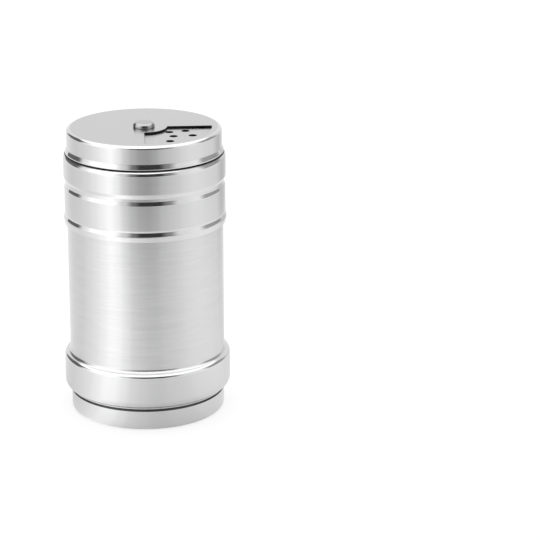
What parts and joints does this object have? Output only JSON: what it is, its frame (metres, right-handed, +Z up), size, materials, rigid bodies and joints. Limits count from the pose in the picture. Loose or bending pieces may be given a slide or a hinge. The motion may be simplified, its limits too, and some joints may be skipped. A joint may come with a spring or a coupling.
{
  "type": "spice shaker with rotating dial lid",
  "caption": "Cylindrical stainless steel spice shaker with a screw lid and a riveted dial whose window turns over groups of shaker holes.",
  "frame": {"origin": "centre of the circle that the shaker stands on", "axes": "+Z up along the shaker's own axis; the dial's window opens towards +X and -Y at rest"},
  "size_m": [0.048, 0.048, 0.085],
  "materials": {
    "brushed_tube": "fine brushing round the jar, polished on the foot's shoulders",
    "satin_pan": "satin, turned",
    "banded_lid": "satin bands between polished beads and a polished groove",
    "dial_steel": "fine satin top, polished rim",
    "rivet_steel": "polished",
    "washer_steel": "bright rolled strip",
    "moulded_white": "moulded polypropylene",
    "clear_silicone": "translucent silicone"
  },
  "bodies": {
    "jar": {"jar_tube": "brushed_tube", "base_pan": "satin_pan", "threaded_neck": "moulded_white"},
    "seal": {"gasket": "clear_silicone"},
    "lid": {"lid_shell": "banded_lid", "lid_liner": "moulded_white", "pivot_rivet": "rivet_steel", "spring_washer": "washer_steel", "tail_washer": "washer_steel"},
    "dial": {"dial_cap": "dial_steel"}
  },
  "joints": [
    {"name": "lid_lift", "type": "slide", "parent": "jar", "child": "seal", "axis": [0, 0, 1], "range_m": [0, 0.014]},
    {"name": "lid_turn", "type": "hinge", "parent": "seal", "child": "lid", "pos_m": [0, 0, 0.06], "axis": [0, 0, 1], "range_deg": [0, 1440]},
    {"name": "dial_turn", "type": "hinge", "parent": "lid", "child": "dial", "pos_m": [0, 0, 0.083], "axis": [0, 0, 1], "continuous": true}
  ],
  "couplings": [
    {"joint": "lid_lift", "follows": "lid_turn", "m_per_rad": 0.00055704}
  ]
}
